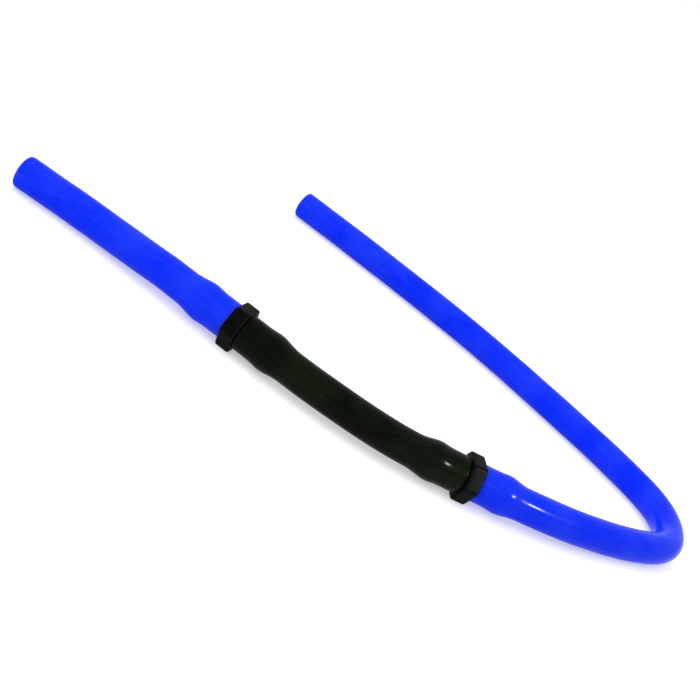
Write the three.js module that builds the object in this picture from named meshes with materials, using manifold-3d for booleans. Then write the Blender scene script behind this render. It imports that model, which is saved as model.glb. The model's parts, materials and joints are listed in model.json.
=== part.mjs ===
// A length of soft tube joined from three pieces on two flanged, double-ended barbed joiners.
// Millimetres, +Z up. The assembly lies on a flat surface at z = 0.
// Each tube is turned as a straight wall on the lathe and then bent along its route.

import * as THREE from "three";
import { mergeVertices } from "three/addons/utils/BufferGeometryUtils.js";
import Module from "manifold-3d";

const wasm = await Module();
wasm.setup();

// Tube
const TUBE_OUTER_DIAMETER = 12;
const TUBE_WALL = 1.7;
const TUBE_RIM_EASE = 0.45;
const TUBE_FACETS = 16;
const TUBE_STEP = 8;
const BEND_STEP = 5;

// Clearance between pieces that fit into, onto or against each other
const FIT_GAP = 0.3;

const TUBE_RADIUS = TUBE_OUTER_DIAMETER / 2;
const BORE_RADIUS = TUBE_RADIUS - TUBE_WALL;

// Joiner: a hexagonal flange between two barbed stems, with one bore right through.
// STEM_OVERSIZE is how much wider than the tube's bore the stem is, on the radius, as
// [distance back from the stem's tip, oversize], from the root outwards.
const STEM_REACH = 17.4;
const STEM_OVERSIZE = [[7.6, 0.38], [4, 0.74], [2.6, 0.66], [0.5, 0.34]];
const STEM_WALL = 1.5;
const STEM_TIP_CLEARANCE = 0.2;
const BARB_CRESTS = [9.6, 4.2, 1.2];
const BARB_DEPTH = 0.45;
const BARB_FACE = 0.4;
const STEM_FACETS = 20;
const STEM_BORE_RADIUS = BORE_RADIUS + STEM_OVERSIZE[0][1] - STEM_WALL;
const STEM_TIP_RADIUS = BORE_RADIUS - STEM_TIP_CLEARANCE;

const FLANGE_THICKNESS = 5.5;
const FLANGE_OVERHANG = 1.7;
const FLANGE_CORNER_ROUND = 1.4;
const FLANGE_EDGE_BEVEL = 0.5;
const FLANGE_ACROSS_FLATS = TUBE_OUTER_DIAMETER + 2 * FLANGE_OVERHANG;

// Beyond the stem's tip the tube draws in again to its own size
const RELAX_LENGTH = 4;
const RELAX_MIDDLE_SHARE = 0.4;
const RELAX_END = STEM_REACH + RELAX_LENGTH;

// Flex joints: a ball on one stretch of tube turns in a cup on the next
const PIVOT_BEYOND_SWELLING = 2;
const BALL_STEPS = 4;
const ARM_PIVOT_REACH = RELAX_END + PIVOT_BEYOND_SWELLING;
const CUP_RADIUS = TUBE_RADIUS + FIT_GAP;

// Height of the joiners' axes above the surface, lying on a flat of each hexagon
const SEAT_HEIGHT = FLANGE_ACROSS_FLATS / 2;

// Where the joiners lie, and which way their stems point (degrees about +Z)
const LEFT_JOINER = { x: -46.3, y: -74.05, heading: -11.2 };
const RIGHT_JOINER = { x: 44.25, y: -74.05, heading: 15.6 };

// Routes of the tubes beyond the joiners' straight stems, as [x, y, rise].
// A rise of 1 is level with the joiners, and at 0 the tube lies on the surface.
const LEFT_ROUTE = [
  [-89.3, -65.5, 0.58],
  [-99.1, -63.4, 0.33],
  [-108.9, -61.6, 0.13],
  [-118.8, -60.4, 0.01],
  [-128.7, -59.6, 0],
  [-136.3, -59.2, 0],
];
const SLEEVE_ROUTE = [
  [-20.4, -79.3, 1],
  [-10.5, -80.4, 1],
  [-0.6, -81.0, 1],
  [9.3, -81.1, 1],
  [19.1, -80.5, 1],
];
const BEFORE_BEND_ROUTE = [
  [76.3, -63.6, 0.81],
  [85.6, -59.1, 0.59],
  [94.0, -54.0, 0.35],
  [102.7, -48.2, 0.13],
  [110.8, -42.5, 0.01],
  [116.7, -37.9, 0],
  [122.9, -32.1, 0],
  [127.2, -26.5, 0],
  [129.5, -21.5, 0],
  [130.5, -17.1, 0],
  [130.7, -13.9, 0],
];
const BEND_PIVOT = [130.7, -12.2, 0];
const AFTER_BEND_ROUTE = [
  [130.7, -9.3, 0],
  [130.3, -5.5, 0],
  [129.1, -0.7, 0],
  [126.6, 4.3, 0],
  [122.8, 8.9, 0],
  [114.4, 15.7, 0],
  [106.3, 21.3, 0],
  [97.7, 26.3, 0],
  [79.8, 35.7, 0],
  [61.8, 44.6, 0],
  [43.9, 52.6, 0],
  [24.9, 59.7, 0],
  [5.6, 65.4, 0],
  [-13.4, 70.6, 0],
  [-33.0, 75.4, 0],
  [-46.6, 78.4, 0],
  [-59.6, 81.2, 0],
];

const TUBE_BLUE = new THREE.Color(0.012, 0.045, 0.95);
const SLEEVE_BLACK = new THREE.Color(0.008, 0.013, 0.007);
const JOINER_BLACK = new THREE.Color(0.006, 0.006, 0.006);

// ---------------------------------------------------------------- helpers

function routePoint([x, y, rise]) {
  return new THREE.Vector3(x, y, TUBE_RADIUS + rise * (SEAT_HEIGHT - TUBE_RADIUS));
}

// Points along a joiner's own axis. side is +1 along its heading and -1 the other way.
function stemPoints(joiner, side, distances) {
  const angle = THREE.MathUtils.degToRad(joiner.heading);
  return distances.map((d) => routePoint([
    joiner.x + side * d * Math.cos(angle),
    joiner.y + side * d * Math.sin(angle),
    1,
  ]));
}

function smoothCurve(points) {
  const curve = new THREE.CatmullRomCurve3(points, false, "centripetal");
  curve.arcLengthDivisions = 2000;
  return curve;
}

// How far along a curve the point nearest to a given one lies.
function distanceTo(curve, target) {
  const samples = 4000;
  const total = curve.getLength();
  let best = 0;
  let nearest = Infinity;
  for (let i = 0; i <= samples; i += 1) {
    const gap = curve.getPointAt(i / samples).distanceTo(target);
    if (gap < nearest) {
      nearest = gap;
      best = (i / samples) * total;
    }
  }
  return best;
}

// Straight-line lookup in a list of [place, value], held level past its ends.
function lookUp(table, place) {
  if (place <= table[0][0]) {
    return table[0][1];
  }
  for (let i = 1; i < table.length; i += 1) {
    const [from, low] = table[i - 1];
    const [to, high] = table[i];
    if (place <= to) {
      return THREE.MathUtils.mapLinear(place, from, to, low, high);
    }
  }
  return table[table.length - 1][1];
}

// The stem's radius over its barbs, as [distance from the flange's middle, radius].
const STEM_ENVELOPE = STEM_OVERSIZE.map(([back, over]) => [STEM_REACH - back, BORE_RADIUS + over]);

// How much a tube's wall is pushed outwards over a stem, by distance from the flange's middle.
function swellTable() {
  const overStem = STEM_ENVELOPE.map(([place, radius]) => [place, radius + FIT_GAP - BORE_RADIUS]);
  const [tipPlace, atTip] = overStem[overStem.length - 1];
  const middle = (tipPlace + RELAX_END) / 2;
  return [...overStem, [middle, atTip * RELAX_MIDDLE_SHARE], [RELAX_END, 0]];
}

const SWELL_TABLE = swellTable();

function swellAt(distance) {
  return lookUp(SWELL_TABLE, distance);
}

// Even steps from one place along a tube to another, both ends included.
function steps(from, to, size) {
  const count = Math.max(1, Math.ceil((to - from) / size));
  return Array.from({ length: count + 1 }, (_, i) => from + ((to - from) * i) / count);
}

// Places along a tube that is pushed onto a stem: close together over the swelling.
function swellingPlaces(from) {
  return [from, ...SWELL_TABLE.map(([place]) => place)];
}

// Arc of a ball or a cup about a pivot, from the tube's outside to its bore.
function ballArc(pivot, radius) {
  const start = Math.asin(Math.sqrt(Math.max(0, 1 - (TUBE_RADIUS / radius) ** 2)));
  const end = Math.acos(BORE_RADIUS / radius);
  const points = [];
  for (let i = 0; i <= BALL_STEPS; i += 1) {
    const angle = start + ((end - start) * i) / BALL_STEPS;
    points.push(new THREE.Vector2(radius * Math.cos(angle), pivot + radius * Math.sin(angle)));
  }
  return points;
}

// Closed section of a tube's wall, up the outside, round endCap and down the bore.
function wallSection(places, swell, endCap) {
  const outside = places.map((s) => new THREE.Vector2(TUBE_RADIUS + swell(s), s));
  const inside = places.map((s) => new THREE.Vector2(BORE_RADIUS + swell(s), s)).reverse();
  const section = [...outside, ...endCap, ...inside];
  section.push(section[0].clone());
  return section;
}

function welded(geometry) {
  geometry.deleteAttribute("normal");
  geometry.deleteAttribute("uv");
  const closed = mergeVertices(geometry, 1e-4);
  closed.computeVertexNormals();
  return closed;
}

// Bends a straight, turned tube (axis +Y, +Z up) along a curve, with distance along Y kept as arc length.
function bendAlong(geometry, curve) {
  const total = curve.getLength();
  const up = new THREE.Vector3(0, 0, 1);
  const position = geometry.getAttribute("position");
  for (let i = 0; i < position.count; i += 1) {
    const place = THREE.MathUtils.clamp(position.getY(i) / total, 0, 1);
    const beyond = position.getY(i) - place * total;
    const forward = curve.getTangentAt(place);
    const side = forward.clone().cross(up).normalize();
    const above = side.clone().cross(forward);
    const point = curve.getPointAt(place);
    point.addScaledVector(forward, beyond);
    point.addScaledVector(side, position.getX(i));
    point.addScaledVector(above, position.getZ(i));
    position.setXYZ(i, point.x, point.y, point.z);
  }
  return welded(geometry);
}

function tube(section, curve) {
  return bendAlong(new THREE.LatheGeometry(section, TUBE_FACETS), curve);
}

function toSolid(geometry) {
  const closed = welded(geometry);
  return new wasm.Manifold(new wasm.Mesh({
    numProp: 3,
    vertProperties: new Float32Array(closed.getAttribute("position").array),
    triVerts: new Uint32Array(closed.getIndex().array),
  }));
}

function fromSolid(solid) {
  const mesh = solid.getMesh();
  const geometry = new THREE.BufferGeometry();
  geometry.setAttribute("position", new THREE.BufferAttribute(mesh.vertProperties, 3));
  geometry.setIndex(new THREE.BufferAttribute(mesh.triVerts, 1));
  geometry.computeVertexNormals();
  return geometry;
}

function piece(name, geometry, color, roughness) {
  const material = new THREE.MeshStandardMaterial({ color, roughness, metalness: 0 });
  const mesh = new THREE.Mesh(geometry, material);
  mesh.name = name;
  return mesh;
}

// ---------------------------------------------------------------- joiner

// Half of the stem's saw-toothed outside, from the flange outwards.
// Each barb has a steep face towards the flange and a long ramp towards the tip.
function stemOutline() {
  const outline = [];
  for (const back of BARB_CRESTS) {
    const crest = STEM_REACH - back;
    const radius = lookUp(STEM_ENVELOPE, crest);
    outline.push(new THREE.Vector2(radius - BARB_DEPTH, crest - BARB_FACE));
    outline.push(new THREE.Vector2(radius, crest));
  }
  outline.push(new THREE.Vector2(STEM_TIP_RADIUS, STEM_REACH));
  return outline;
}

function stems() {
  const upper = stemOutline();
  const lower = upper.map((p) => new THREE.Vector2(p.x, -p.y)).reverse();
  const section = [
    ...lower,
    ...upper,
    new THREE.Vector2(STEM_BORE_RADIUS, STEM_REACH),
    new THREE.Vector2(STEM_BORE_RADIUS, -STEM_REACH),
  ];
  section.push(section[0].clone());
  return new THREE.LatheGeometry(section, STEM_FACETS);
}

// Hexagon with rounded corners, flats facing up and down.
function flangeOutline() {
  const apothem = FLANGE_ACROSS_FLATS / 2 - FLANGE_EDGE_BEVEL;
  const cornerReach = (apothem - FLANGE_CORNER_ROUND) / Math.cos(Math.PI / 6);
  const shape = new THREE.Shape();
  for (let i = 0; i < 6; i += 1) {
    const angle = (i * Math.PI) / 3;
    const x = cornerReach * Math.cos(angle);
    const y = cornerReach * Math.sin(angle);
    shape.absarc(x, y, FLANGE_CORNER_ROUND, angle - Math.PI / 6, angle + Math.PI / 6, false);
  }
  shape.closePath();
  const hole = new THREE.Path();
  hole.absarc(0, 0, (STEM_BORE_RADIUS + STEM_TIP_RADIUS) / 2, 0, Math.PI * 2, true);
  shape.holes.push(hole);
  return shape;
}

function flange() {
  const geometry = new THREE.ExtrudeGeometry(flangeOutline(), {
    depth: FLANGE_THICKNESS - 2 * FLANGE_EDGE_BEVEL,
    bevelThickness: FLANGE_EDGE_BEVEL,
    bevelSize: FLANGE_EDGE_BEVEL,
    bevelSegments: 1,
    curveSegments: 4,
  });
  geometry.translate(0, 0, FLANGE_EDGE_BEVEL - FLANGE_THICKNESS / 2);
  geometry.rotateX(-Math.PI / 2);
  return geometry;
}

function joiner(name, place) {
  const solid = toSolid(stems()).add(toSolid(flange()));
  const mesh = piece(name, fromSolid(solid), JOINER_BLACK, 0.6);
  mesh.position.set(place.x, place.y, SEAT_HEIGHT);
  mesh.rotation.z = THREE.MathUtils.degToRad(place.heading - 90);
  return mesh;
}

// ---------------------------------------------------------------- tubes

// The tubes run straight over the stems, and through the ball of the left arm's flex joint
const STEM_STATIONS = [0, STEM_REACH / 2, STEM_REACH];
const STRAIGHT_STATIONS = [...STEM_STATIONS, RELAX_END + 1];
const ARM_STATIONS = [...STRAIGHT_STATIONS, ARM_PIVOT_REACH + TUBE_RADIUS];
const TUBE_START = FLANGE_THICKNESS / 2 + FIT_GAP;

// A stretch that is pushed onto a stem and ends in the ball of a flex joint.
function stemToBall(curve, pivot) {
  const onStem = swellingPlaces(TUBE_START);
  const free = steps(RELAX_END, pivot, BEND_STEP).slice(1);
  const section = wallSection([...onStem, ...free], swellAt, ballArc(pivot, TUBE_RADIUS).slice(1));
  return tube(section, curve);
}

// A stretch that starts in the cup of a flex joint and ends free, cut square.
function cupToEnd(curve, pivot) {
  const end = curve.getLength();
  const cup = ballArc(pivot, CUP_RADIUS);
  const rim = cup[0].y;
  const mouth = cup[cup.length - 1].y;
  const outside = steps(rim, end - TUBE_RIM_EASE, TUBE_STEP).map((s) => new THREE.Vector2(TUBE_RADIUS, s));
  const inside = steps(mouth, end, TUBE_STEP).map((s) => new THREE.Vector2(BORE_RADIUS, s)).reverse();
  const eased = new THREE.Vector2(TUBE_RADIUS - TUBE_RIM_EASE, end);
  const section = [...outside, eased, ...inside, ...cup.slice(1, -1).reverse()];
  section.push(section[0].clone());
  return tube(section, curve);
}

function leftCurve() {
  return smoothCurve([...stemPoints(LEFT_JOINER, -1, ARM_STATIONS), ...LEFT_ROUTE.map(routePoint)]);
}

function rightCurve() {
  return smoothCurve([
    ...stemPoints(RIGHT_JOINER, 1, STRAIGHT_STATIONS),
    ...BEFORE_BEND_ROUTE.map(routePoint),
    routePoint(BEND_PIVOT),
    ...AFTER_BEND_ROUTE.map(routePoint),
  ]);
}

function sleeveCurve() {
  return smoothCurve([
    ...stemPoints(LEFT_JOINER, 1, STEM_STATIONS),
    ...SLEEVE_ROUTE.map(routePoint),
    ...stemPoints(RIGHT_JOINER, -1, STEM_STATIONS).reverse(),
  ]);
}

function centreSleeve() {
  const curve = sleeveCurve();
  const length = curve.getLength();
  const near = swellingPlaces(TUBE_START);
  const far = near.map((s) => length - s).reverse();
  const middle = steps(RELAX_END, length - RELAX_END, BEND_STEP).slice(1, -1);
  const swell = (s) => swellAt(Math.min(s, length - s));
  const section = wallSection([...near, ...middle, ...far], swell, []);
  return tube(section, curve);
}

// ---------------------------------------------------------------- assembly

const left = leftCurve();
const right = rightCurve();
const bendPivot = distanceTo(right, routePoint(BEND_PIVOT));

const assembly = new THREE.Group();
assembly.add(
  piece("left_tube_root", stemToBall(left, ARM_PIVOT_REACH), TUBE_BLUE, 0.3),
  piece("left_tube_free", cupToEnd(left, ARM_PIVOT_REACH), TUBE_BLUE, 0.3),
  joiner("left_joiner", LEFT_JOINER),
  piece("centre_sleeve", centreSleeve(), SLEEVE_BLACK, 0.2),
  joiner("right_joiner", RIGHT_JOINER),
  piece("right_tube_near", stemToBall(right, bendPivot), TUBE_BLUE, 0.3),
  piece("right_tube_far", cupToEnd(right, bendPivot), TUBE_BLUE, 0.3),
);

export default assembly;
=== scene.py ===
"""Looks of a soft tube assembly: three lengths of tube joined on two flanged, barbed joiners.

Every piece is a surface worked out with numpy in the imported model's own frame, in metres.
"""

import json
import math

import bpy
import numpy as np
from bpy.props import FloatProperty, FloatVectorProperty, IntProperty, PointerProperty
from mathutils import Matrix, Vector


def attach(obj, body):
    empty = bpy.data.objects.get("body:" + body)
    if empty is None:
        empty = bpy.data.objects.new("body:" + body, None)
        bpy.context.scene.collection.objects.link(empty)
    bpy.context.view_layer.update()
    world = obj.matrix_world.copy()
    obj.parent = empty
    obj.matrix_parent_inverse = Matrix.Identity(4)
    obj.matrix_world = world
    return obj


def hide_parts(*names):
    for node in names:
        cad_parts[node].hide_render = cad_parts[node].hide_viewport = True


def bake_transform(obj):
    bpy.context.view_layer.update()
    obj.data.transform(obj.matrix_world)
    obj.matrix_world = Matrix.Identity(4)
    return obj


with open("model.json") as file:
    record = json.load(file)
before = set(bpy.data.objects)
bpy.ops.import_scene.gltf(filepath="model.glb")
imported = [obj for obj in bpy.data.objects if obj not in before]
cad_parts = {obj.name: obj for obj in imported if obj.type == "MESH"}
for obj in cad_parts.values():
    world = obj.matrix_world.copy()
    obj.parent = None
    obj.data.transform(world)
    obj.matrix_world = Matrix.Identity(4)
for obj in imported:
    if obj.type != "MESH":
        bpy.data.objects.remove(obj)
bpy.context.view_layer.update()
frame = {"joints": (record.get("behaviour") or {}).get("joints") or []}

bl_info = {
    "name": "Soft tube assembly",
    "version": (1, 0, 0),
    "blender": (4, 5, 0),
    "location": "3D View > Sidebar > Tube",
    "description": "Builds three lengths of soft tube on two barbed joiners, and a small studio",
    "category": "Add Mesh",
}

MM = 0.001
JOINTS = {joint["name"]: joint for joint in frame["joints"]}

# ---------------------------------------------------------------- sizes and routes

# Tube and stem, in millimetres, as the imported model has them
TUBE_RADIUS = 6.0
TUBE_WALL = 1.7
BORE_RADIUS = TUBE_RADIUS - TUBE_WALL
STEM_REACH = 17.4
RELAX_END = 21.4
FLANGE_THICKNESS = 5.5
FLANGE_ACROSS_FLATS = 15.4
FLANGE_CORNER_ROUND = 1.4
SEAT_HEIGHT = FLANGE_ACROSS_FLATS / 2
FIT_GAP = 0.3

# A tube starts just clear of its flange
SEAT_GAP = 0.12
TUBE_START = FLANGE_THICKNESS / 2 + SEAT_GAP

# Barbs of a stem, hidden in the tubes
BARB_CRESTS = (7.8, 13.2, 16.2)
BARB_DEPTH = 0.45
BARB_FACE = 0.4
STEM_BORE_RADIUS = 3.22

# How far the wall stands out over a stem: distance from the flange's middle, growth of the radius
SWELL_PLACES = [0.0, 6.0, 9.4, 11.4, 13.3, 14.8, 16.1, 17.4, 18.8, 20.2, RELAX_END, 26.0]
SWELL_GROWTH = [0.66, 0.66, 0.70, 0.86, 1.05, 0.99, 0.80, 0.55, 0.31, 0.12, 0.0, 0.0]

# Routes beyond the stems, as [x, y, rise] in millimetres. A rise of 1 is level with the
# joiners, and at 0 the tube lies on the surface.
LEFT_ROUTE = [
    [-89.3, -65.5, 0.58], [-99.1, -63.4, 0.33], [-108.9, -61.6, 0.13], [-118.8, -60.4, 0.01],
    [-128.7, -59.6, 0], [-136.3, -59.2, 0],
]
SLEEVE_ROUTE = [
    [-20.4, -79.3, 1], [-10.5, -80.4, 1], [-0.6, -81.0, 1], [9.3, -81.1, 1], [19.1, -80.5, 1],
]
RIGHT_ROUTE = [
    [76.3, -63.6, 0.81], [85.6, -59.1, 0.59], [94.0, -54.0, 0.35], [102.7, -48.2, 0.13],
    [110.8, -42.5, 0.01], [116.7, -37.9, 0], [122.9, -32.1, 0], [127.2, -26.5, 0], [129.5, -21.5, 0],
    [130.5, -17.1, 0], [130.7, -13.9, 0], [130.7, -12.2, 0], [130.7, -9.3, 0], [130.3, -5.5, 0],
    [129.1, -0.7, 0], [126.6, 4.3, 0], [122.8, 8.9, 0], [114.4, 15.7, 0], [106.3, 21.3, 0],
    [97.7, 26.3, 0], [79.8, 35.7, 0], [61.8, 44.6, 0], [43.9, 52.6, 0], [24.9, 59.7, 0], [5.6, 65.4, 0],
    [-13.4, 70.6, 0], [-33.0, 75.4, 0], [-46.6, 78.4, 0], [-59.6, 81.2, 0],
]
STEM_STATIONS = [0.0, STEM_REACH / 2, STEM_REACH]
STRAIGHT_STATIONS = [*STEM_STATIONS, RELAX_END + 1]
ARM_STRAIGHT = 30.0
ARM_STATIONS = [*STRAIGHT_STATIONS, ARM_STRAIGHT]

# The left arm's span about its flex pivot starts this far back over its stem
BEND_OVER_STEM = 2.5

# Fineness of the lines and of the tubes' walls, and how softly a route is eased
ROUTE_STEP = 0.5
ROUTE_EASE = 4.0
EASE_GROWS_OVER = 8.0
WALL_STEP = 0.8
PUSHED_END_EASE = 0.3
JOINER_AROUND = 144


# ---------------------------------------------------------------- user settings


class TubeSizes(bpy.types.PropertyGroup):
    """Sizes of the tubes' finish and the fineness of their meshes."""

    around: IntProperty(
        name="Faces around", description="Faces round a tube's section", default=64, min=16, max=160
    )
    rim_ease: FloatProperty(
        name="Rim ease", description="Rounding of a cut end's outer edge", default=1.3 * MM, unit="LENGTH"
    )
    wobble: FloatProperty(
        name="Wall wobble", description="How far the extruded wall wanders", default=0.04 * MM, unit="LENGTH"
    )


class TubeColours(bpy.types.PropertyGroup):
    """Colours of the three finishes."""

    blue: FloatVectorProperty(
        name="Blue tube", description="Colour of the arms", default=(0.0012, 0.026, 1.0), subtype="COLOR"
    )
    black: FloatVectorProperty(
        name="Black tube", description="Colour of the middle length", default=(0.0014, 0.0024, 0.0009),
        subtype="COLOR",
    )
    joiner: FloatVectorProperty(
        name="Joiner", description="Colour of the moulded joiners", default=(0.0012, 0.0015, 0.0008),
        subtype="COLOR",
    )


class StudioSettings(bpy.types.PropertyGroup):
    """Light levels and the camera's place."""

    key_level: FloatProperty(
        name="Key light", description="Strength of the broad light from above", default=1.55
    )
    glint_power: FloatProperty(
        name="Glint light", description="Power of the small light that draws the streak", default=4.5,
        subtype="POWER",
    )
    world_level: FloatProperty(
        name="Room light", description="Strength of the even light all round", default=0.62
    )
    lens: FloatProperty(
        name="Lens", description="Focal length on a 36 mm sensor", default=61.7, subtype="DISTANCE_CAMERA"
    )


# ---------------------------------------------------------------- lines in space


def joiner_axis(joint_name):
    """Middle of a joiner and the unit direction of its axis, in millimetres, from its twist joint."""
    joint = JOINTS[joint_name]
    axis = np.array(joint["axis"], float)
    return np.array(joint["pos_m"], float) / MM, axis / np.linalg.norm(axis)


def stem_points(joint_name, side, distances):
    """Points on a joiner's axis at the given distances to one side of its middle."""
    middle, axis = joiner_axis(joint_name)
    return middle + side * np.outer(distances, axis)


def route_points(route):
    """Points of a route, with each rise turned into a height between lying and joiner level."""
    points = np.array(route, float)
    points[:, 2] = TUBE_RADIUS + points[:, 2] * (SEAT_HEIGHT - TUBE_RADIUS)
    return points


def smooth_line(points, ease, held=STEM_REACH):
    """A Catmull-Rom curve through points, spaced evenly, then eased by a Gaussian along its length.

    The first and last stretches, held long, stay as they are, and the easing grows in beyond them.
    """
    p = np.vstack([2 * points[0] - points[1], points, 2 * points[-1] - points[-2]])
    knots = np.concatenate([[0], np.cumsum(np.linalg.norm(np.diff(p, axis=0), axis=1) ** 0.5)])
    samples = 6000
    t = np.linspace(knots[1], knots[-2], samples, endpoint=False)
    i = np.clip(np.searchsorted(knots, t, side="right") - 1, 1, len(p) - 3)
    k0, k1, k2, k3 = (knots[i + j][:, None] for j in (-1, 0, 1, 2))
    p0, p1, p2, p3 = (p[i + j] for j in (-1, 0, 1, 2))
    t = t[:, None]
    a1 = (k1 - t) / (k1 - k0) * p0 + (t - k0) / (k1 - k0) * p1
    a2 = (k2 - t) / (k2 - k1) * p1 + (t - k1) / (k2 - k1) * p2
    a3 = (k3 - t) / (k3 - k2) * p2 + (t - k2) / (k3 - k2) * p3
    b1 = (k2 - t) / (k2 - k0) * a1 + (t - k0) / (k2 - k0) * a2
    b2 = (k3 - t) / (k3 - k1) * a2 + (t - k1) / (k3 - k1) * a3
    line = np.vstack([(k2 - t) / (k2 - k1) * b1 + (t - k1) / (k2 - k1) * b2, points[-1]])
    line = evenly(line, ROUTE_STEP)
    reach = int(3 * ease / ROUTE_STEP)
    weights = np.exp(-0.5 * (np.arange(-reach, reach + 1) * ROUTE_STEP / ease) ** 2)
    padded = np.vstack([
        2 * line[0] - line[reach:0:-1], line, 2 * line[-1] - line[-2:-reach - 2:-1]
    ])
    eased = np.stack([np.convolve(padded[:, k], weights / weights.sum(), "valid") for k in range(3)], 1)
    along = distances(line)
    from_end = np.minimum(along, along[-1] - along)
    share = np.clip((from_end - held) / EASE_GROWS_OVER, 0, 1)[:, None]
    share = share * share * (3 - 2 * share)
    return evenly(line + share * (eased - line), ROUTE_STEP)


def distances(line):
    """Distance along a line of each of its points."""
    return np.concatenate([[0], np.cumsum(np.linalg.norm(np.diff(line, axis=0), axis=1))])


def evenly(line, step):
    """The line again, with points about step apart."""
    along = distances(line)
    at = np.linspace(0, along[-1], int(math.ceil(along[-1] / step)) + 1)
    return np.stack([np.interp(at, along, line[:, k]) for k in range(3)], 1)


def frames_along(line, at):
    """Point, forward, side and upward directions of a line at given distances along it."""
    along = distances(line)
    point = np.stack([np.interp(at, along, line[:, k]) for k in range(3)], 1)
    tangent = np.gradient(line, along, axis=0)
    forward = np.stack([np.interp(at, along, tangent[:, k]) for k in range(3)], 1)
    forward /= np.linalg.norm(forward, axis=1)[:, None]
    side = np.cross(forward, [0.0, 0.0, 1.0])
    side /= np.linalg.norm(side, axis=1)[:, None]
    return point, forward, side, np.cross(side, forward)


def pchip(x, places, values):
    """Smooth curve through a short table that never overshoots it (monotone cubic steps)."""
    places, values = np.array(places, float), np.array(values, float)
    width = np.diff(places)
    slope = np.diff(values) / width
    inner = np.where(
        slope[:-1] * slope[1:] > 0,
        2 * slope[:-1] * slope[1:] / np.where(slope[:-1] + slope[1:] == 0, 1, slope[:-1] + slope[1:]),
        0.0,
    )
    lean = np.concatenate([[slope[0]], inner, [slope[-1]]])
    x = np.clip(x, places[0], places[-1])
    i = np.clip(np.searchsorted(places, x, side="right") - 1, 0, len(places) - 2)
    t = (x - places[i]) / width[i]
    return (
        (2 * t**3 - 3 * t**2 + 1) * values[i]
        + (t**3 - 2 * t**2 + t) * width[i] * lean[i]
        + (3 * t**2 - 2 * t**3) * values[i + 1]
        + (t**3 - t**2) * width[i] * lean[i + 1]
    )


def swelling(distance):
    """Growth of a tube's radius at distances from the middle of the flange it is pushed up to."""
    return pchip(distance, SWELL_PLACES, SWELL_GROWTH)


# ---------------------------------------------------------------- surfaces


def grid_mesh(name, points, uv, closed_rows=True):
    """A mesh from a grid of points, closed round its columns and, if asked, round its rows.

    points is (rows, columns, 3) in millimetres. uv is (rows + 1, columns + 1, 2), so the seams
    keep their own texture place.
    """
    rows, columns = points.shape[:2]
    r = np.arange(rows if closed_rows else rows - 1)
    c = np.arange(columns)
    r, c = (g.ravel() for g in np.meshgrid(r, c, indexing="ij"))
    r1, c1 = (r + 1) % rows, (c + 1) % columns
    quads = np.stack([r * columns + c, r * columns + c1, r1 * columns + c1, r1 * columns + c], 1)
    corners = np.stack([uv[r, c], uv[r, c + 1], uv[r + 1, c + 1], uv[r + 1, c]], 1)
    mesh = bpy.data.meshes.new(name)
    mesh.vertices.add(rows * columns)
    mesh.vertices.foreach_set("co", (points.reshape(-1) * MM).astype(np.float32))
    mesh.loops.add(quads.size)
    mesh.loops.foreach_set("vertex_index", quads.ravel().astype(np.int32))
    mesh.polygons.add(len(quads))
    mesh.polygons.foreach_set("loop_start", (np.arange(len(quads)) * 4).astype(np.int32))
    layer = mesh.uv_layers.new(name="Surface")
    layer.data.foreach_set("uv", corners.reshape(-1).astype(np.float32))
    mesh.update(calc_edges=True)
    mesh.validate()
    mesh.polygons.foreach_set("use_smooth", np.ones(len(quads), bool))
    piece = bpy.data.objects.new(name, mesh)
    bpy.context.scene.collection.objects.link(piece)
    return piece


def rounded_end(outer, inner, at, ease_out, ease_in, steps=7):
    """Section points round a cut end: quarter rounds of ease_out and ease_in joined by a flat."""
    turn = np.linspace(0, np.pi / 2, steps)
    out = np.stack([outer - ease_out * (1 - np.cos(turn)), at - ease_out * (1 - np.sin(turn))], 1)
    back = np.stack([inner + ease_in * (1 - np.cos(turn)), at - ease_in * (1 - np.sin(turn))], 1)[::-1]
    return np.vstack([out, back])


def tube_section(start, end, growth, step, ease_start, ease_end):
    """Closed section of a tube's wall as [radius, distance]: up the outside and down the bore.

    The outside is the tube's radius plus growth(distance), and the bore is a wall's thickness in.
    """
    at = np.linspace(start + ease_start, end - ease_end, int((end - start) / step) + 2)
    outside = np.stack([TUBE_RADIUS + growth(at), at], 1)
    inside = np.stack([BORE_RADIUS + growth(at), at], 1)[::-1]
    g0, g1 = (float(growth(np.array([v]))[0]) for v in (start, end))
    bore_ease = 0.35
    top = rounded_end(TUBE_RADIUS + g1, BORE_RADIUS + g1, end, ease_end, bore_ease)
    bottom = rounded_end(TUBE_RADIUS + g0, BORE_RADIUS + g0, -start, ease_start, bore_ease)
    bottom[:, 1] *= -1
    return np.vstack([outside[1:-1], top, inside[1:-1], bottom[::-1]])


def wall_wobble(along, angle, seed, size):
    """Slow wandering of an extruded wall: a sum of seeded waves along and around the tube."""
    source = np.random.default_rng(seed)
    total = np.zeros(np.broadcast(along, angle).shape)
    waves = 9
    for _ in range(waves):
        turns = source.integers(1, 5)
        length = source.uniform(9, 60)
        phase, lag = source.uniform(0, 2 * np.pi, 2)
        total += np.sin(2 * np.pi * along / length + lag) * np.cos(turns * angle + phase)
    return size * total / math.sqrt(waves)


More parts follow.
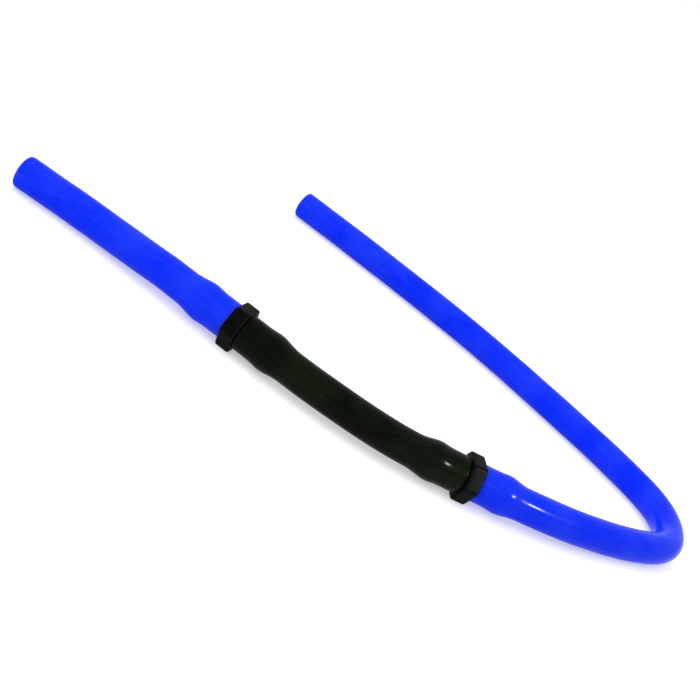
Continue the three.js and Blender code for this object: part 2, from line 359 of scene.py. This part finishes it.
def swept_tube(name, line, section, around, wobble, seed):
    """A closed section of [radius, distance] turned about a line and carried along it.

    At angle a and section point (r, s) the surface is at line(s) + r (side(s) cos a + up(s) sin a),
    with the outside moved by a small wobble.
    """
    angle = np.linspace(0, 2 * np.pi, around, endpoint=False)
    radius, at = section[:, 0], section[:, 1]
    point, forward, side, upward = frames_along(line, np.clip(at, 0, distances(line)[-1]))
    spread = radius[:, None] + wall_wobble(at[:, None], angle[None, :], seed, wobble / MM)
    grid = (
        point[:, None]
        + spread[..., None] * (np.cos(angle)[None, :, None] * side[:, None]
                               + np.sin(angle)[None, :, None] * upward[:, None])
    )
    v = np.append(at, at[0])
    u = np.linspace(0, 2 * np.pi * TUBE_RADIUS, around + 1)
    uv = np.stack(np.broadcast_arrays(u[None, :], v[:, None]), -1) * MM
    return grid_mesh(name, grid[:, ::-1], uv[:, ::-1])


# ---------------------------------------------------------------- node materials


class Nodes:
    """Short names for making and joining shader nodes."""

    def __init__(self, name):
        self.material = bpy.data.materials.new(name)
        self.material.use_nodes = True
        self.tree = self.material.node_tree
        self.shader = self.tree.nodes["Principled BSDF"]

    def add(self, kind, **values):
        node = self.tree.nodes.new(kind)
        for key, value in values.items():
            if key.startswith("in_"):
                slot = key[3:]
                socket = node.inputs[int(slot)] if slot.isdigit() else node.inputs[slot.replace("_", " ")]
                if isinstance(value, bpy.types.NodeSocket):
                    self.tree.links.new(value, socket)
                else:
                    socket.default_value = value
            else:
                setattr(node, key, value)
        return node

    def link(self, a, b):
        self.tree.links.new(a, b)

    def math(self, operation, a, b=0.0, c=0.0, clamp=False):
        node = self.add("ShaderNodeMath", operation=operation, use_clamp=clamp, in_0=a, in_1=b, in_2=c)
        return node.outputs[0]

    def noise(self, vector, scale, detail=3.0, rough=0.5):
        node = self.add(
            "ShaderNodeTexNoise", in_Vector=vector, in_Scale=scale, in_Detail=detail, in_Roughness=rough
        )
        return node.outputs["Fac"]

    def stretched(self, vector, scale):
        return self.add("ShaderNodeMapping", in_Vector=vector, in_Scale=scale).outputs[0]

    def ramp(self, value, low, high, to_low, to_high):
        node = self.add(
            "ShaderNodeMapRange", in_Value=value, in_From_Min=low, in_From_Max=high, in_To_Min=to_low,
            in_To_Max=to_high,
        )
        return node.outputs[0]

    def mix(self, share, a, b):
        node = self.add("ShaderNodeMix", data_type="RGBA", in_0=share)
        for value, socket in ((a, node.inputs[6]), (b, node.inputs[7])):
            if isinstance(value, bpy.types.NodeSocket):
                self.link(value, socket)
            else:
                socket.default_value = (*value, 1.0) if len(value) == 3 else value
        return node.outputs[2]

    def bump(self, height, strength, distance, normal=None):
        node = self.add("ShaderNodeBump", in_Strength=strength, in_Distance=distance, in_Height=height)
        if normal is not None:
            self.link(normal, node.inputs["Normal"])
        return node.outputs[0]


def tube_material(name, base, clouded, gloss, shine, sheen, body_glow, seed):
    """Soft extruded tube: clouded colour, faint die lines along it, fine scuffs and a glossy skin."""
    n = Nodes(name)
    surface = n.add("ShaderNodeUVMap", uv_map="Surface").outputs[0]
    place = n.add("ShaderNodeTexCoord").outputs["Object"]
    moved = n.add("ShaderNodeMapping", in_Vector=place, in_Location=(seed, -seed, 0.5 * seed)).outputs[0]
    cloud = n.noise(moved, 55.0, 3.0, 0.5)
    fleck = n.noise(moved, 700.0, 2.0, 0.6)
    lines = n.noise(n.stretched(surface, (1.0, 0.02, 1.0)), 1600.0, 2.0, 0.5)
    streaks = n.noise(n.stretched(surface, (1.0, 0.12, 1.0)), 700.0, 3.0, 0.6)
    marks = n.math("ADD", n.ramp(fleck, 0.3, 0.7, -0.08, 0.14), n.ramp(streaks, 0.3, 0.7, -0.22, 0.30))
    share = n.math("ADD", n.ramp(cloud, 0.38, 0.68, 0.0, 0.85), marks, clamp=True)
    n.link(n.mix(share, base, clouded), n.shader.inputs["Base Color"])
    scuffs = n.noise(n.stretched(surface, (0.25, 1.0, 1.0)), 1500.0, 4.0, 0.6)
    rough = n.math("ADD", n.ramp(scuffs, 0.35, 0.75, gloss, gloss + 0.05), n.ramp(cloud, 0.3, 0.7, 0.0, 0.03))
    n.link(rough, n.shader.inputs["Roughness"])
    soft = n.bump(n.noise(moved, 200.0, 2.0, 0.5), 0.06, 0.0004)
    fine = n.bump(lines, 0.02, 0.00008, soft)
    n.link(fine, n.shader.inputs["Normal"])
    n.shader.inputs["IOR"].default_value = 1.45
    n.shader.inputs["Specular IOR Level"].default_value = shine
    n.shader.inputs["Sheen Weight"].default_value = sheen
    n.shader.inputs["Sheen Roughness"].default_value = 0.25
    n.shader.inputs["Subsurface Weight"].default_value = body_glow
    n.shader.inputs["Subsurface Radius"].default_value = (0.3, 0.4, 1.0)
    n.shader.inputs["Subsurface Scale"].default_value = 0.004
    return n


def joiner_material(name, base):
    """Moulded black plastic: fine satin grain, slightly polished where it is handled."""
    n = Nodes(name)
    place = n.add("ShaderNodeTexCoord").outputs["Object"]
    grain = n.noise(place, 5200.0, 3.0, 0.6)
    patch = n.noise(place, 260.0, 2.0, 0.5)
    lighter = tuple(2.0 * c for c in base)
    n.link(n.mix(n.ramp(patch, 0.35, 0.7, 0.0, 1.0), base, lighter), n.shader.inputs["Base Color"])
    n.link(n.ramp(patch, 0.3, 0.7, 0.42, 0.56), n.shader.inputs["Roughness"])
    n.link(n.bump(grain, 0.25, 0.00006), n.shader.inputs["Normal"])
    n.shader.inputs["Specular IOR Level"].default_value = 0.035
    return n


def put_on(piece, nodes):
    """Gives a piece its finish."""
    piece.data.materials.clear()
    piece.data.materials.append(nodes.material)


# ---------------------------------------------------------------- pieces


def settings():
    """The user settings of the scene."""
    scene = bpy.context.scene
    return scene.tube_sizes, scene.tube_colours, scene.tube_studio


def make_arm(name, line, seed):
    """One blue arm: pushed up to its flange at the start and cut square at its free end."""
    sizes, colours, _ = settings()
    end = distances(line)[-1]
    section = tube_section(TUBE_START, end, swelling, WALL_STEP, PUSHED_END_EASE, sizes.rim_ease / MM)
    arm = swept_tube(name, line, section, sizes.around, sizes.wobble, seed)
    blue = np.array(colours.blue)
    clouded = tuple(np.minimum(blue * (7.0, 1.9, 1.0) + (0.006, 0.0, 0.0), 1.0))
    put_on(arm, tube_material(
        name + "_finish", tuple(blue), clouded, gloss=0.14, shine=0.045, sheen=0.0, body_glow=0.35, seed=seed
    ))
    return arm


class TUBE_OT_left_arm(bpy.types.Operator):
    """Makes the short blue arm, which bends just beyond its joiner."""

    bl_idname = "tube.left_arm"
    bl_label = "Left arm"

    def execute(self, context):
        points = np.vstack([stem_points("left_arm_twist", -1, ARM_STATIONS), route_points(LEFT_ROUTE)])
        line = smooth_line(points, ROUTE_EASE, held=ARM_STRAIGHT)
        arm = make_arm("left_arm_tube", line, seed=3)
        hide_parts("left_tube_root", "left_tube_free")
        pivot = np.linalg.norm(np.array(JOINTS["left_arm_flex"]["pos_m"]) / MM - line[0])
        half = pivot - STEM_REACH + BEND_OVER_STEM
        start, end = frames_along(line, np.array([pivot - half, pivot + half]))[0] * MM
        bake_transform(arm)
        return {"FINISHED"}


class TUBE_OT_right_arm(bpy.types.Operator):
    """Makes the long blue arm, which turns back round its bend."""

    bl_idname = "tube.right_arm"
    bl_label = "Right arm"

    def execute(self, context):
        points = np.vstack([stem_points("right_arm_twist", 1, STRAIGHT_STATIONS), route_points(RIGHT_ROUTE)])
        line = smooth_line(points, ROUTE_EASE)
        arm = make_arm("right_arm_tube", line, seed=7)
        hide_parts("right_tube_near", "right_tube_far")
        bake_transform(arm)
        return {"FINISHED"}


class TUBE_OT_sleeve(bpy.types.Operator):
    """Makes the black middle length, held on a stem at each end."""

    bl_idname = "tube.sleeve"
    bl_label = "Middle length"

    def execute(self, context):
        sizes, colours, _ = settings()
        points = np.vstack([
            stem_points("left_arm_twist", 1, STEM_STATIONS),
            route_points(SLEEVE_ROUTE),
            stem_points("right_arm_twist", -1, STEM_STATIONS)[::-1],
        ])
        line = smooth_line(points, ROUTE_EASE)
        length = distances(line)[-1]

        def both_ends(distance):
            return swelling(np.minimum(distance, length - distance))

        section = tube_section(
            TUBE_START, length - TUBE_START, both_ends, WALL_STEP, PUSHED_END_EASE, PUSHED_END_EASE
        )
        seed = 11
        sleeve = swept_tube("middle_tube", line, section, sizes.around, sizes.wobble, seed)
        black = np.array(colours.black)
        green = tuple(black * (4.0, 5.5, 4.0))
        put_on(sleeve, tube_material(
            "middle_tube_finish", tuple(black), green, gloss=0.12, shine=0.045, sheen=0.12, body_glow=0.0,
            seed=seed,
        ))
        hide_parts("centre_sleeve")
        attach(sleeve, "sleeve")
        return {"FINISHED"}


def hexagon(angle, apothem, corner):
    """Reach of a hexagon with rounded corners, flats facing up and down, at an angle.

    Straight flats at the apothem, with each corner an arc of radius corner about its own centre.
    """
    turn = (angle + np.pi / 6) % (np.pi / 3) - np.pi / 6
    centre = (apothem - corner) / math.cos(math.pi / 6)
    half = math.atan2(corner * 0.5, centre + corner * math.cos(math.pi / 6))
    arc = centre * np.cos(turn) + np.sqrt(np.maximum(corner**2 - (centre * np.sin(turn)) ** 2, 0))
    flat = apothem / np.cos(np.pi / 6 - np.abs(turn))
    return np.where(np.abs(turn) < half, arc, flat)


def joiner_section():
    """Closed section of a joiner as [radius, distance, share of hexagon], all along its outside.

    Two barbed stems stand either side of the flange, and one bore runs right through.
    """
    stem = []
    for crest in BARB_CRESTS:
        radius = BORE_RADIUS + swelling(np.array([crest]))[0] - FIT_GAP
        stem.append((radius - BARB_DEPTH, crest - BARB_FACE, 0.0))
        stem += [(radius - 0.03, crest - 0.1, 0.0), (radius, crest, 0.0)]
    stem += [(BORE_RADIUS - 0.2, STEM_REACH - 0.4, 0.0), (BORE_RADIUS - 0.5, STEM_REACH, 0.0)]
    root = [(4.3, FLANGE_THICKNESS / 2, 0.0)]
    half = FLANGE_THICKNESS / 2
    ease = 0.7
    turn = np.linspace(0, np.pi / 2, 6)
    rim = [(-ease * (1 - math.sin(a)), half - ease * (1 - math.cos(a)), 1.0) for a in turn]
    face = [(r, half, 0.0) for r in (4.6, 5.4, 6.2)]
    right = root + stem
    left = [(r, -s, h) for r, s, h in right[::-1]]
    rim_right = rim[::-1]
    rim_left = [(r, -s, h) for r, s, h in rim]
    face_left = [(r, -s, h) for r, s, h in face]
    return np.array(
        left + face_left + rim_left + [(0.0, -0.9, 1.0), (0.0, 0.0, 1.0), (0.0, 0.9, 1.0)] + rim_right
        + face[::-1] + right + [(STEM_BORE_RADIUS, STEM_REACH, 0.0), (STEM_BORE_RADIUS, -STEM_REACH, 0.0)]
    )


def make_joiner(name, joint_name, body, node):
    """A moulded joiner: the section's radius, or its hexagon's reach, carried round the axis."""
    _, colours, _ = settings()
    middle, axis = joiner_axis(joint_name)
    section = joiner_section()
    angle = np.linspace(0, 2 * np.pi, JOINER_AROUND, endpoint=False)
    reach = hexagon(angle, FLANGE_ACROSS_FLATS / 2, FLANGE_CORNER_ROUND)
    radius = section[:, 0][:, None] + section[:, 2][:, None] * reach[None, :]
    side = np.cross(axis, [0.0, 0.0, 1.0])
    upward = np.cross(side, axis)
    grid = (
        middle
        + section[:, 1][:, None, None] * axis
        + radius[..., None] * (np.cos(angle)[None, :, None] * side + np.sin(angle)[None, :, None] * upward)
    )
    v = np.append(section[:, 1], section[0, 1])
    u = np.linspace(0, 2 * np.pi * TUBE_RADIUS, JOINER_AROUND + 1)
    uv = np.stack(np.broadcast_arrays(u[None, :], v[:, None]), -1) * MM
    joiner = grid_mesh(name, grid[:, ::-1], uv[:, ::-1])
    put_on(joiner, joiner_material(name + "_finish", tuple(colours.joiner)))
    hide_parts(node)
    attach(joiner, body)
    return joiner


class TUBE_OT_joiners(bpy.types.Operator):
    """Makes the two moulded joiners with their hexagonal flanges and hidden barbs."""

    bl_idname = "tube.joiners"
    bl_label = "Joiners"

    def execute(self, context):
        make_joiner("left_joiner_moulding", "left_arm_twist", "left_arm_root", "left_joiner")
        make_joiner("right_joiner_moulding", "right_arm_twist", "right_arm_root", "right_joiner")
        return {"FINISHED"}


# ---------------------------------------------------------------- stage

CAMERA_PLACE = Vector((-0.02648, -0.43332, 0.16926))
CAMERA_TARGET = Vector((-0.0099, -0.0329, 0.0060))
CAMERA_ROLL = math.radians(34.18)

KEY_PLACE = Vector((-0.45, -0.25, 1.0))
KEY_SPREAD = math.radians(110)
GLINT_PLACE = Vector((0.415, -0.256, 0.309))
GLINT_TARGET = Vector((0.055, -0.078, 0.011))
GLINT_SIZE = 0.05

FLOOR_COLOUR = 0.88
FLOOR_GLOW = 0.42
FLOOR_HALF = 12.0


def aimed(place, target, roll=0.0):
    """Matrix of a camera or light at place that looks at target, rolled about its own axis."""
    back = (place - target).normalized()
    right = Vector((0, 0, 1)).cross(back).normalized()
    turn = Matrix((right, back.cross(right), back)).transposed().to_4x4()
    return Matrix.Translation(place) @ turn @ Matrix.Rotation(roll, 4, "Z")


def broad_light(level):
    """A very broad light from above the near left, which no gloss mirrors."""
    data = bpy.data.lights.new("key", "SUN")
    data.energy = level
    data.angle = KEY_SPREAD
    lamp = bpy.data.objects.new("key", data)
    lamp.matrix_world = aimed(KEY_PLACE, Vector((0, 0, 0)))
    lamp.visible_glossy = False
    bpy.context.scene.collection.objects.link(lamp)


def glint_light(power):
    """A small light that only gloss sees."""
    data = bpy.data.lights.new("glint", "AREA")
    data.shape = "DISK"
    data.size = GLINT_SIZE
    data.energy = power
    lamp = bpy.data.objects.new("glint", data)
    lamp.matrix_world = aimed(GLINT_PLACE, GLINT_TARGET)
    lamp.visible_diffuse = False
    lamp.visible_camera = False
    bpy.context.scene.collection.objects.link(lamp)


def make_camera(lens):
    """The camera, rolled so that the assembly lies across the picture."""
    data = bpy.data.cameras.new("view_camera")
    data.lens = lens
    data.sensor_width = 36.0
    data.clip_start = 0.01
    data.clip_end = 50.0
    camera = bpy.data.objects.new("view_camera", data)
    camera.matrix_world = aimed(CAMERA_PLACE, CAMERA_TARGET, CAMERA_ROLL)
    bpy.context.scene.collection.objects.link(camera)
    bpy.context.scene.camera = camera


def make_floor():
    """A wide pale floor that shows white to the camera and keeps the assembly's shadow."""
    corners = [(x * FLOOR_HALF, y * FLOOR_HALF, 0) for x, y in ((-1, -1), (1, -1), (1, 1), (-1, 1))]
    mesh = bpy.data.meshes.new("floor")
    mesh.from_pydata(corners, [], [(0, 1, 2, 3)])
    floor = bpy.data.objects.new("floor", mesh)
    bpy.context.scene.collection.objects.link(floor)
    n = Nodes("floor_finish")
    n.shader.inputs["Base Color"].default_value = (FLOOR_COLOUR, FLOOR_COLOUR, FLOOR_COLOUR, 1)
    n.shader.inputs["Roughness"].default_value = 0.9
    n.shader.inputs["Specular IOR Level"].default_value = 0.0
    path = n.add("ShaderNodeLightPath")
    seen = n.math("MAXIMUM", path.outputs["Is Camera Ray"], path.outputs["Is Transmission Ray"])
    seen = n.math("MAXIMUM", seen, path.outputs["Is Glossy Ray"])
    n.shader.inputs["Emission Color"].default_value = (1, 1, 1, 1)
    n.link(n.math("MULTIPLY", seen, FLOOR_GLOW), n.shader.inputs["Emission Strength"])
    put_on(floor, n)


def make_world(level):
    """Even grey room light that shows as white behind the floor's edge and in gloss."""
    world = bpy.data.worlds.new("room")
    bpy.context.scene.world = world
    world.use_nodes = True
    tree = world.node_tree
    background = tree.nodes["Background"]
    background.inputs["Color"].default_value = (1, 1, 1, 1)
    path = tree.nodes.new("ShaderNodeLightPath")
    seen = path.outputs["Is Camera Ray"]
    for ray in ("Is Glossy Ray", "Is Transmission Ray"):
        either = tree.nodes.new("ShaderNodeMath")
        either.operation = "MAXIMUM"
        tree.links.new(seen, either.inputs[0])
        tree.links.new(path.outputs[ray], either.inputs[1])
        seen = either.outputs[0]
    strength = tree.nodes.new("ShaderNodeMapRange")
    strength.inputs["To Min"].default_value = level
    strength.inputs["To Max"].default_value = 1.0
    tree.links.new(seen, strength.inputs["Value"])
    tree.links.new(strength.outputs[0], background.inputs["Strength"])


class TUBE_OT_stage(bpy.types.Operator):
    """Makes the camera, floor, room light and lamps."""

    bl_idname = "tube.stage"
    bl_label = "Studio"

    def execute(self, context):
        _, _, studio = settings()
        scene = context.scene
        scene.view_settings.view_transform = "Standard"
        make_camera(studio.lens)
        make_floor()
        make_world(studio.world_level)
        broad_light(studio.key_level)
        glint_light(studio.glint_power)
        return {"FINISHED"}


# ---------------------------------------------------------------- panel and registration


class TUBE_PT_panel(bpy.types.Panel):
    """Lists the makers and their settings."""

    bl_label = "Soft tube assembly"
    bl_idname = "TUBE_PT_panel"
    bl_space_type = "VIEW_3D"
    bl_region_type = "UI"
    bl_category = "Tube"

    def draw(self, context):
        for group in settings():
            box = self.layout.box()
            for name in group.bl_rna.properties.keys():
                if name not in {"rna_type", "name"}:
                    box.prop(group, name)
        for operator in OPERATORS:
            self.layout.operator(operator.bl_idname)


OPERATORS = (TUBE_OT_stage, TUBE_OT_left_arm, TUBE_OT_right_arm, TUBE_OT_sleeve, TUBE_OT_joiners)
CLASSES = (TubeSizes, TubeColours, StudioSettings, *OPERATORS, TUBE_PT_panel)


def register():
    for cls in CLASSES:
        bpy.utils.register_class(cls)
    bpy.types.Scene.tube_sizes = PointerProperty(type=TubeSizes)
    bpy.types.Scene.tube_colours = PointerProperty(type=TubeColours)
    bpy.types.Scene.tube_studio = PointerProperty(type=StudioSettings)


def unregister():
    del bpy.types.Scene.tube_studio
    del bpy.types.Scene.tube_colours
    del bpy.types.Scene.tube_sizes
    for cls in reversed(CLASSES):
        bpy.utils.unregister_class(cls)


def main():
    register()
    for operator in OPERATORS:
        group, name = operator.bl_idname.split(".")
        getattr(getattr(bpy.ops, group), name)()
    bpy.context.view_layer.update()


if __name__ == "__main__":
    main()
